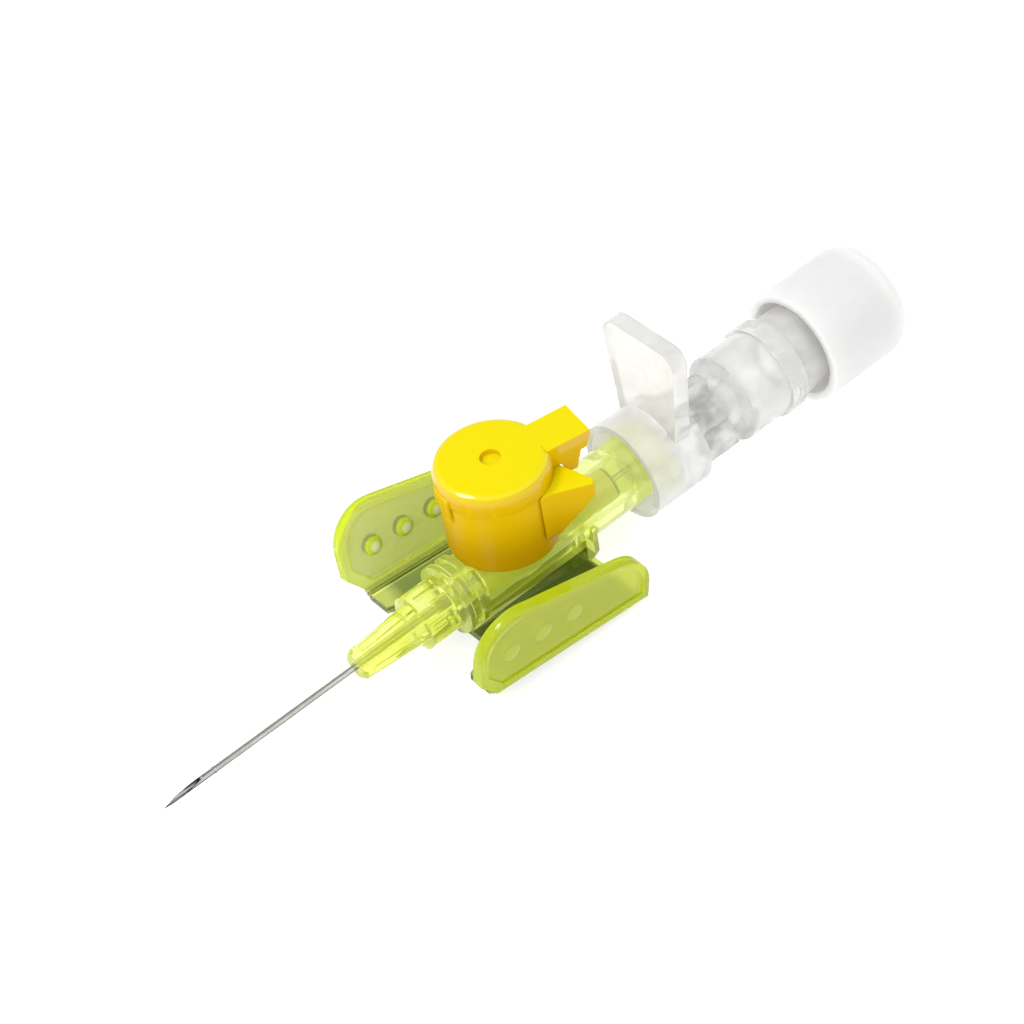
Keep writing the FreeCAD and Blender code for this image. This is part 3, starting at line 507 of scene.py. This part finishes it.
@dataclass(frozen=True)
class YellowPlastic:
    """Opaque golden yellow moulding with a soft gloss, painted light on top, painted shade on its
    sides, darkest low.
    """

    # Painted light and shade: top colour on faces that point up, side colour on upright faces, low
    # colour darkening the sides low down.
    top: Colour = linear(224, 209, 3)
    side: Colour = linear(218, 178, 1)
    low: Colour = linear(178, 132, 0)
    upward: Span = (0.1, 0.9)
    painted_flank_shade: Span = (9.8, 4.0)
    flank_share: float = 0.8
    rim_height: Span = (11.0, 11.4)
    rim_turn: Span = (0.98, 0.9)
    rim_coat: float = 0.8
    coat: float = 0.03
    coat_roughness: float = 0.05
    specular: float = 0.05
    cloud_scale: float = 0.5
    cloud_share: float = 0.2
    roughness: float = 0.22
    roughness_range: float = 0.12
    grain: Grain = Grain(5.0, GRAIN_OCTAVES, 0.2, 0.012)

    def material(self) -> bpy.types.Material:
        """Build the material.

        Returns:
            The material.
        """
        graph = ShaderGraph("yellow_plastic")
        up = graph.axis(graph.normal(), "Z")
        height = graph.coordinate("Z")
        cloud = graph.noise(self.cloud_scale, CLOUD_OCTAVES)
        # Painted shade on the upright sides, darker low down.
        lowered = graph.step(height, self.painted_flank_shade) * self.flank_share
        painted_flank_shade = graph.mix(lowered, self.side, self.low)
        rim = graph.step(height, self.rim_height) * graph.step(up, self.rim_turn)
        # Painted light on faces that point up.
        colour = graph.mix(graph.step(up, self.upward), painted_flank_shade, self.top)
        graph.surface({
            "Base Color": graph.mix(cloud * self.cloud_share, colour, self.side),
            "Roughness": cloud * self.roughness_range + self.roughness,
            "Specular IOR Level": self.specular,
            "Coat Weight": rim * self.rim_coat + self.coat,
            "Coat Roughness": self.coat_roughness,
            "Normal": self.grain.normal(graph),
        })
        return graph.material


@dataclass(frozen=True)
class ClearPlastic:
    """Clear moulding, faint milky cast, faint painted glow, painted shade in grey facets round the
    ribbed neck.
    """

    name: str = "clear_plastic"
    tint: Colour = linear(253, 253, 253)
    cast: Colour = linear(245, 244, 241)
    roughness: float = 0.09
    transmission: float = 0.62
    # Painted shade: grey patches in the ribbed neck stand in for shade seen through the ribs.
    painted_facet_shade: Colour = linear(222, 224, 222)
    neck_front: Span = (36.5, 37.5)
    neck_rear: Span = (43.5, 42.5)
    facet_scale: float = 0.7
    facet_span: Span = (0.35, 0.6)
    cloud_scale: float = 0.5
    cloud_colour: Span = (0.3, 0.7)
    roughness_range: float = 0.08
    # Painted glow: the clear plastic gives off faint light, though it is no lamp.
    glow_strength: float = 0.02
    grain: Grain = Grain(2.0, CLOUD_OCTAVES, 0.12, 0.015)

    def material(self) -> bpy.types.Material:
        """Build the material.

        Returns:
            The material.
        """
        graph = ShaderGraph(self.name)
        cloud = graph.noise(self.cloud_scale, CLOUD_OCTAVES)
        back = graph.coordinate("X")
        neck = graph.step(back, self.neck_front) * graph.step(back, self.neck_rear)
        # Painted shade in patches along the neck.
        painted_facet_mask = neck * graph.step(graph.noise(self.facet_scale), self.facet_span)
        milk = graph.mix(graph.step(cloud, self.cloud_colour), self.tint, self.cast)
        graph.surface({
            "Base Color": graph.mix(painted_facet_mask, milk, self.painted_facet_shade),
            "Roughness": cloud * self.roughness_range + self.roughness,
            "Transmission Weight": self.transmission,
            "IOR": PLASTIC_IOR,
            # Painted glow in the milky cast colour.
            "Emission Color": self.cast,
            "Emission Strength": self.glow_strength,
            "Normal": self.grain.normal(graph),
        })
        return graph.material


@dataclass(frozen=True)
class SolidFinish:
    """Opaque finish with a fine mottle."""

    name: str
    colour: Colour
    shade: Colour
    roughness: float
    metallic: float = 0.0
    subsurface: float = 0.0
    mottle: float = 1.5
    relief: float = 0.01
    relief_strength: float = 0.25
    roughness_range: float = 0.1
    grain_ratio: float = 4.0
    scatter: Triple = (3.0, 2.9, 2.7)

    def material(self) -> bpy.types.Material:
        """Build the material.

        Returns:
            The material.
        """
        graph = ShaderGraph(self.name)
        cloud = graph.noise(self.mottle, GRAIN_OCTAVES)
        fine = self.mottle * self.grain_ratio
        grain = Grain(fine, GRAIN_OCTAVES, self.relief_strength, self.relief)
        inputs = {
            "Base Color": graph.mix(cloud, self.colour, self.shade),
            "Roughness": cloud * self.roughness_range + self.roughness,
            "Metallic": self.metallic,
            "Normal": grain.normal(graph),
        }
        if self.subsurface:
            inputs["Subsurface Weight"] = self.subsurface
            inputs["Subsurface Radius"] = tuple(reach * MM for reach in self.scatter)
            inputs["Subsurface Scale"] = 1.0
        graph.surface(inputs)
        return graph.material


@dataclass(frozen=True)
class NeedleSteel:
    """Drawn steel tube: painted light facing up, painted shade facing down and along its top, with
    grain along it.
    """

    # Painted light and shade by the way the surface faces: light upward, dark downward, a darker
    # band along the top.
    light: Colour = linear(226, 226, 224)
    painted_crest_shade: Colour = linear(112, 110, 106)
    dark: Colour = linear(40, 37, 34)
    grain: Colour = linear(120, 119, 116)
    underside: Span = (-0.1, 0.5)
    upside: Span = (0.8, 0.97)
    crest_share: float = 0.8
    streak_scale: float = 3.0
    streak_stretch: Triple = (0.05, 1.0, 1.0)
    streak_span: Span = (0.4, 0.8)
    streak_share: float = 0.5
    roughness: float = 0.16
    roughness_range: float = 0.1
    relief: Span = (0.2, 0.005)

    def material(self) -> bpy.types.Material:
        """Build the material.

        Returns:
            The material.
        """
        graph = ShaderGraph("needle_steel")
        up = graph.axis(graph.normal(), "Z")
        streak = graph.noise(self.streak_scale, GRAIN_OCTAVES, Vector(self.streak_stretch))
        # Painted light and shade by the direction the surface faces.
        lit = graph.mix(graph.step(up, self.underside), self.dark, self.light)
        lit = graph.mix(graph.step(up, self.upside) * self.crest_share, lit, self.painted_crest_shade)
        streaked = graph.step(streak, self.streak_span) * self.streak_share
        graph.surface({
            "Base Color": graph.mix(streaked, lit, self.grain),
            "Roughness": streak * self.roughness_range + self.roughness,
            "Metallic": 1.0,
            "Normal": graph.bump(streak, *self.relief),
        })
        return graph.material


class Finish(Enum):
    """The finishes of this object."""

    LIME = LimePlastic()
    LEFT_WING = LimeWing("lime_plastic_left", -1, LEFT_FOLD, strength=0.03)
    RIGHT_WING = LimeWing("lime_plastic_right", 1, RIGHT_FOLD)
    LEFT_BUMPS = GripBump("lime_bumps_left", -1, LEFT_FOLD)
    RIGHT_BUMPS = GripBump("lime_bumps_right", 1, RIGHT_FOLD)
    LEFT_WEB = HingeWeb("lime_hinge_left", -1)
    RIGHT_WEB = HingeWeb("lime_hinge_right", 1)
    YELLOW = YellowPlastic()
    CLEAR = ClearPlastic()
    TUBE = ClearPlastic("tube_plastic", linear(252, 252, 250), linear(244, 244, 240), 0.01, 1.0,
                        grain=Grain(2.0, CLOUD_OCTAVES, 0.12, 0.002))
    WHITE = SolidFinish("white_plastic", linear(238, 237, 234), linear(231, 230, 227), 0.36,
                        subsurface=0.9)
    RING = SolidFinish("ring_steel", linear(120, 118, 96), linear(84, 82, 62), 0.3, 0.8,
                       mottle=2.0)
    SILICONE = SolidFinish("silicone", linear(236, 226, 160), linear(214, 200, 124), 0.45,
                           subsurface=0.2)
    NEEDLE = NeedleSteel()
    FERRULE = SolidFinish("ferrule_steel", linear(190, 190, 190), linear(150, 150, 150), 0.3, 1.0)
    GLUE = SolidFinish("adhesive", linear(232, 232, 226), linear(214, 214, 206), 0.4)
    POROUS = SolidFinish("porous_plastic", linear(250, 250, 250), linear(225, 225, 225), 0.8,
                         mottle=8.0, relief=0.05)


class FinishRack:
    """Builds each finish once."""

    def __init__(self) -> None:
        """Start with no material made."""
        self.made: dict[Finish, bpy.types.Material] = {}

    def get(self, finish: Finish) -> bpy.types.Material:
        """The material of a finish, made on its first use."""
        if finish not in self.made:
            self.made[finish] = finish.value.material()
        return self.made[finish]


def band(path: Sequence[Span], thick: float, ends: Span, stations: int, frame_at: Matrix,
         end_taper: float = 0.55) -> bmesh.types.BMesh:
    """Closed strip that follows a path and thins at the path's two ends.

    Args:
        path: Middle line of the strip in the frame's Y and Z, in millimetres.
        thick: Thickness of the strip.
        ends: Its start and end along the frame's X.
        stations: Steps along X.
        frame_at: The frame.
        end_taper: Thickness at the path's ends, as a share of the full one.

    Returns:
        The mesh.
    """
    over: list[Span] = []
    under: list[Span] = []
    for index, (a, b) in enumerate(path):
        before = Vector(path[max(index - 1, 0)])
        after = Vector(path[min(index + 1, len(path) - 1)])
        run = (after - before).normalized()
        taper = end_taper if index in (0, len(path) - 1) else 1.0
        shift = Vector((-run.y, run.x)) * thick / 2 * taper
        over.append((a + shift.x, b + shift.y))
        under.append((a - shift.x, b - shift.y))
    outline = over + under[::-1]
    mesh = bmesh.new()
    rows = []
    for step in range(stations + 1):
        x = ends[0] + (ends[1] - ends[0]) * step / stations
        rows.append([mesh.verts.new(frame_at @ point(x, a, b)) for a, b in outline])
    count = len(outline)
    for first, second in zip(rows, rows[1:]):
        for index in range(count):
            follow = (index + 1) % count
            mesh.faces.new((first[index], first[follow], second[follow], second[index]))
    for row in (rows[0], rows[-1]):
        for index in range(len(path) - 1):
            mirror = count - 1 - index
            mesh.faces.new((row[index], row[index + 1], row[mirror - 1], row[mirror]))
    bmesh.ops.recalc_face_normals(mesh, faces=mesh.faces)
    return mesh


def wire_ring(radius: float, thick: float, at_x: float, steps: int = 48,
              around: int = 12) -> bmesh.types.BMesh:
    """Round wire ring about the needle axis.

    Args:
        radius: Radius of its middle line, in millimetres.
        thick: Thickness of the wire.
        at_x: Its place along the axis.
        steps: Steps round the ring.
        around: Steps round the wire.

    Returns:
        The mesh.
    """
    mesh = bmesh.new()
    rows = []
    for step in range(steps):
        turn = math.tau * step / steps
        row = []
        for part in range(around):
            angle = math.tau * part / around
            x = at_x + thick / 2 * math.sin(angle)
            reach = radius + thick / 2 * math.cos(angle)
            spot = point(x, reach * math.cos(turn), reach * math.sin(turn))
            row.append(mesh.verts.new(spot))
        rows.append(row)
    for step in range(steps):
        first, second = rows[step], rows[(step + 1) % steps]
        for part in range(around):
            follow = (part + 1) % around
            mesh.faces.new((first[part], first[follow], second[follow], second[part]))
    bmesh.ops.recalc_face_normals(mesh, faces=mesh.faces)
    return mesh


def add_dome(mesh: bmesh.types.BMesh, centre: Triple, radius: float, rise: float,
             frame_at: Matrix, steps: int = 28, tiers: int = 8) -> None:
    """Add a closed dome that stands along the frame's Z.

    Args:
        mesh: The mesh that gets it.
        centre: Middle of its flat underside in the frame, in millimetres.
        radius: Radius of its foot.
        rise: Its height.
        frame_at: The frame.
        steps: Steps round it.
        tiers: Steps up it.
    """
    rows = []
    for tier in range(tiers):
        angle = math.pi / 2 * tier / tiers
        reach, height = radius * math.cos(angle), rise * math.sin(angle)
        rows.append([mesh.verts.new(frame_at @ point(
            centre[0] + reach * math.cos(math.tau * step / steps),
            centre[1] + reach * math.sin(math.tau * step / steps),
            centre[2] + height)) for step in range(steps)])
    top = mesh.verts.new(frame_at @ point(centre[0], centre[1], centre[2] + rise))
    foot = mesh.verts.new(frame_at @ point(*centre))
    for step in range(steps):
        follow = (step + 1) % steps
        for first, second in zip(rows, rows[1:]):
            mesh.faces.new((first[step], first[follow], second[follow], second[step]))
        mesh.faces.new((rows[-1][step], rows[-1][follow], top))
        mesh.faces.new((rows[0][follow], rows[0][step], foot))
    bmesh.ops.recalc_face_normals(mesh, faces=mesh.faces)


@dataclass(frozen=True)
class Dressing:
    """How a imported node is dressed: its finish, the rounding of its edges and a small offset."""

    node: str
    finish: Finish
    soften: float = 0.0
    swell: float = 0.0


@dataclass
class SubAssembly:
    """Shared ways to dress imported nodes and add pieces. Sizes in millimetres."""

    rack: FinishRack
    weld_gap: float = 0.0005
    soften_angle: float = 32.0

    def add(self, name: str, mesh: bmesh.types.BMesh, finish: Finish, slot_name: str,
            body: Optional[str] = None) -> bpy.types.Object:
        """Turn a mesh into a piece of its own.

        Args:
            name: The piece's name.
            mesh: Its mesh, which is used up.
            finish: Its finish.
            slot_name: Not used.
            body: The body that it rides on; with none, the piece rides on no body.

        Returns:
            The piece.
        """
        data = bpy.data.meshes.new(name)
        mesh.to_mesh(data)
        mesh.free()
        data.shade_smooth()
        data.materials.append(self.rack.get(finish))
        obj = bpy.data.objects.new(name, data)
        bpy.context.scene.collection.objects.link(obj)
        if body:
            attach(obj, body)
        LOG.info("added %s on %s", name, body or "two bodies")
        return obj

    def dress(self, dressings: Sequence[Dressing]) -> None:
        """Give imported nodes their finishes.

        Args:
            dressings: What each node gets.
        """
        for item in dressings:
            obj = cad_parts[item.node]
            obj.data.materials.clear()
            obj.data.materials.append(self.rack.get(item.finish))
            weld = obj.modifiers.new("weld", "WELD")
            weld.merge_threshold = self.weld_gap * MM
            if item.soften:
                bevel = obj.modifiers.new("soften", "BEVEL")
                bevel.width = item.soften * MM
                bevel.segments = 2
                bevel.limit_method = "ANGLE"
                bevel.angle_limit = math.radians(self.soften_angle)
                bevel.harden_normals = True
            if item.swell:
                shift = obj.modifiers.new("swell", "DISPLACE")
                shift.strength = item.swell * MM
                shift.mid_level = 0.0
            obj.data.shade_smooth()
            smooth = obj.modifiers.new("weights", "WEIGHTED_NORMAL")
            smooth.keep_sharp = True
            LOG.info("dressed %s with %s", item.node, item.finish.name)


@dataclass(frozen=True)
class Lamp:
    """Soft area light: its name, place and width in millimetres, and its power in watts."""

    name: str
    place: Triple
    size: float
    power: float


@dataclass
class Studio:
    """Pale floor, soft lights and the camera at the photograph's angle. Lengths in millimetres."""

    floor_z: float = -5.76
    azimuth: float = -33.119
    elevation: float = 45.579
    roll: float = -11.124
    distance: float = 250.0
    pixels_per_mm: float = 11.25
    centre: Span = (509.157, 554.626)
    image: float = 1024.0
    sensor: float = 36.0
    clip: Span = (10.0, 10000.0)
    floor_half: float = 3000.0
    floor_grey: float = 0.45
    floor_glow: float = 0.72
    sky: tuple[tuple[float, Colour], ...] = (
        (0.0, (0.64, 0.64, 0.645)),
        (0.55, (0.85, 0.85, 0.85)),
    )
    lamps: tuple[Lamp, ...] = (
        Lamp("key", (-60.0, 60.0, 210.0), 60.0, 0.16),
        Lamp("fill", (150.0, -120.0, 160.0), 120.0, 0.05),
        Lamp("streak", (-122.0, -66.0, 138.0), 44.0, 0.10),
    )

    def build(self) -> None:
        """Make floor, world, camera and lights."""
        self._floor()
        self._world()
        self._camera()
        for lamp in self.lamps:
            self._light(lamp)
        bpy.context.scene.view_settings.view_transform = "Standard"

    def _floor(self) -> None:
        """Pale floor under the part."""
        mesh = bpy.data.meshes.new("floor")
        half = self.floor_half
        outline = ((-half, -half), (half, -half), (half, half), (-half, half))
        corners = [point(x, y, self.floor_z) for x, y in outline]
        mesh.from_pydata(corners, [], [(0, 1, 2, 3)])
        floor = bpy.data.objects.new("floor", mesh)
        bpy.context.scene.collection.objects.link(floor)
        graph = ShaderGraph("pale_floor")
        graph.surface({
            "Base Color": (self.floor_grey,) * 3,
            "Roughness": 0.9,
            "Specular IOR Level": 0.1,
            "Emission Color": (1.0, 1.0, 1.0),
            "Emission Strength": self.floor_glow,
        })
        mesh.materials.append(graph.material)

    def _world(self) -> None:
        """Pale surroundings, a little darker towards the horizon so that clear edges show."""
        world = bpy.data.worlds.new("studio")
        graph = ShaderGraph("studio", world)
        height = graph.axis(graph.node("ShaderNodeTexCoord", output="Generated"), "Z")
        colour = graph.node("ShaderNodeValToRGB", {"stops": self.sky}, [height])
        graph.surface({"Color": colour, "Strength": 1.0}, "ShaderNodeBackground")
        bpy.context.scene.world = world

    def _camera(self) -> None:
        """Camera at the photograph's angle and scale."""
        around, above, roll = map(math.radians, (self.azimuth, self.elevation, self.roll))
        level = Vector((math.cos(around), math.sin(around), 0.0))
        back = Vector((level.y, -level.x, 0.0)) * math.cos(above)
        back.z = math.sin(above)
        rise = back.cross(level)
        right = level * math.cos(roll) + rise * math.sin(roll)
        up = rise * math.cos(roll) - level * math.sin(roll)
        data = bpy.data.cameras.new("camera")
        data.sensor_width = self.sensor
        data.lens = self.pixels_per_mm * self.distance * self.sensor / self.image
        data.shift_x = (self.image / 2 - self.centre[0]) / self.image
        data.shift_y = (self.centre[1] - self.image / 2) / self.image
        data.clip_start, data.clip_end = (reach * MM for reach in self.clip)
        camera = bpy.data.objects.new("camera", data)
        bpy.context.scene.collection.objects.link(camera)
        turn = Matrix((right, up, back)).transposed().to_4x4()
        stand = point(PORT_X, 0, 0) + back * self.distance * MM
        camera.matrix_world = Matrix.Translation(stand) @ turn
        bpy.context.scene.camera = camera

    def _light(self, lamp: Lamp) -> None:
        """Hang a lamp so that it faces the part.

        Args:
            lamp: The lamp.
        """
        data = bpy.data.lights.new(lamp.name, "AREA")
        data.size = lamp.size * MM
        data.energy = lamp.power
        obj = bpy.data.objects.new(lamp.name, data)
        bpy.context.scene.collection.objects.link(obj)
        obj.location = point(*lamp.place)
        aim = point(PORT_X, 0, 0) - obj.location
        obj.rotation_mode = "QUATERNION"
        obj.rotation_quaternion = aim.to_track_quat("-Z", "Y")


@dataclass
class CatheterSide(SubAssembly):
    """Lime hub with its wings, the soft tube, its ferrule and the silicone sleeve."""

    bump_places: tuple[float, ...] = (-8.45, -4.85, -1.25)
    bump_up: float = 4.45
    bump_foot: float = 0.37
    bump_radius: float = 0.95
    bump_rise: float = 0.54
    mark_rise: float = 0.16
    web_ends: Span = (-10.15, 7.45)
    web_reach: float = 0.62
    web_thick: float = 0.30
    web_steps: int = 12
    web_stations: int = 24
    ring_radius: float = 1.4
    ring_thick: float = 0.3
    ring_x: float = 29.38
    dressings: tuple[Dressing, ...] = (
        Dressing("catheter_hub", Finish.LIME, 0.1),
        Dressing("wing_left", Finish.LEFT_WING, 0.12),
        Dressing("wing_right", Finish.RIGHT_WING, 0.12),
        Dressing("valve_sleeve", Finish.SILICONE, 0.08, -0.02),
        Dressing("catheter_tube", Finish.TUBE, 0.0, -0.01),
        Dressing("catheter_ferrule", Finish.FERRULE, 0.0, -0.01),
    )

    def build(self) -> None:
        """Dress the nodes and add the sleeve's ring, the wings' bumps and their hinge webs."""
        self.dress(self.dressings)
        mesh = wire_ring(self.ring_radius, self.ring_thick, self.ring_x)
        self.add("sleeve_ring", mesh, Finish.RING, "ferrule_steel", "cannula")
        for side, fold, body in ((-1, LEFT_FOLD, "left_wing"), (1, RIGHT_FOLD, "right_wing")):
            self._add_bumps(side, fold, body)
            self._add_web(side, fold, body)

    def _add_bumps(self, side: int, fold: float, body: str) -> None:
        """Row of domed grip bumps on a wing's inner face, with low marks opposite.

        Args:
            side: 1 on the right and -1 on the left.
            fold: Angle of the wing at rest, in degrees.
            body: The wing's body.
        """
        mesh = bmesh.new()
        inner = wing_frame(side, fold)
        outer = inner @ Matrix.Rotation(math.pi, 4, "X")
        for x in self.bump_places:
            for at, up, rise in ((inner, side, self.bump_rise), (outer, -side, self.mark_rise)):
                centre = (x, self.bump_up * up, self.bump_foot)
                add_dome(mesh, centre, self.bump_radius, rise, at)
        finish = Finish.LEFT_BUMPS if side < 0 else Finish.RIGHT_BUMPS
        self.add(f"{body}_bumps", mesh, finish, "lime_plastic", body)

    def _add_web(self, side: int, fold: float, body: str) -> None:
        """Bent hinge web between a base panel and its wing.

        Args:
            side: 1 on the right and -1 on the left.
            fold: Angle of the wing at rest, in degrees.
            body: The wing's body.
        """
        flat = wing_frame(side, 0.0)
        bend = math.radians(fold)
        reach = self.web_reach
        start = Vector((-side * reach, 0.0))
        end = Vector((side * math.cos(bend), math.sin(bend))) * reach
        path = []
        for step in range(self.web_steps + 1):
            share = step / self.web_steps
            spot = start * (1 - share) ** 2 + end * share ** 2
            path.append((spot.x, spot.y))
        mesh = band(path, self.web_thick, self.web_ends, self.web_stations, flat)
        finish = Finish.LEFT_WEB if side < 0 else Finish.RIGHT_WEB
        web = self.add(f"{body}_hinge_web", mesh, finish, "lime_plastic")
        tuple(flat @ point(0, start.x, start.y))
        tuple(flat @ point(0, end.x, end.y))
        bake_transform(web)


@dataclass
class PortCap(SubAssembly):
    """Yellow collar and lid with the strap that hinges them."""

    strap_turn: float = 170.0
    strap_half: float = 1.2
    strap_thick: float = 0.3
    strap_stations: int = 6
    strap_path: tuple[Span, ...] = (
        (4.9, 8.3), (5.02, 8.6), (5.12, 9.0), (5.16, 9.5),
        (5.17, 10.0), (5.17, 10.4), (5.12, 10.8), (4.95, 11.1),
    )
    strap_start: Span = (5.2, 9.4)
    strap_end: Span = (5.2, 10.5)
    dressings: tuple[Dressing, ...] = (
        Dressing("port_collar", Finish.YELLOW, 0.2),
        Dressing("port_lid", Finish.YELLOW, 0.2),
    )

    def build(self) -> None:
        """Dress the nodes and add the strap."""
        self.dress(self.dressings)
        turn = Matrix.Rotation(math.radians(self.strap_turn - 90), 4, "Z")
        at = Matrix.Translation(point(PORT_X, 0, 0)) @ turn
        ends = (-self.strap_half, self.strap_half)
        mesh = band(self.strap_path, self.strap_thick, ends, self.strap_stations, at)
        strap = self.add("lid_strap", mesh, Finish.YELLOW, "yellow_plastic")
        tuple(at @ point(0, *self.strap_start))
        tuple(at @ point(0, *self.strap_end))
        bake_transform(strap)


@dataclass
class NeedleSide(SubAssembly):
    """Steel needle, its clear hub, the vent filter and the white plug."""

    dressings: tuple[Dressing, ...] = (
        Dressing("needle_hub", Finish.CLEAR, 0.12),
        Dressing("needle_shaft", Finish.NEEDLE),
        Dressing("needle_glue", Finish.GLUE, 0.05, -0.01),
        Dressing("vent_filter", Finish.POROUS, 0.05, -0.02),
        Dressing("luer_plug", Finish.WHITE, 0.15),
    )

    def build(self) -> None:
        """Dress the nodes."""
        self.dress(self.dressings)


def main() -> None:
    """Build everything in order."""
    logging.basicConfig(level=logging.INFO, format="%(message)s")
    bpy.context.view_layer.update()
    rack = FinishRack()
    for part in (CatheterSide(rack), PortCap(rack), NeedleSide(rack)):
        part.build()
    Studio().build()


if __name__ == "__main__":
    main()
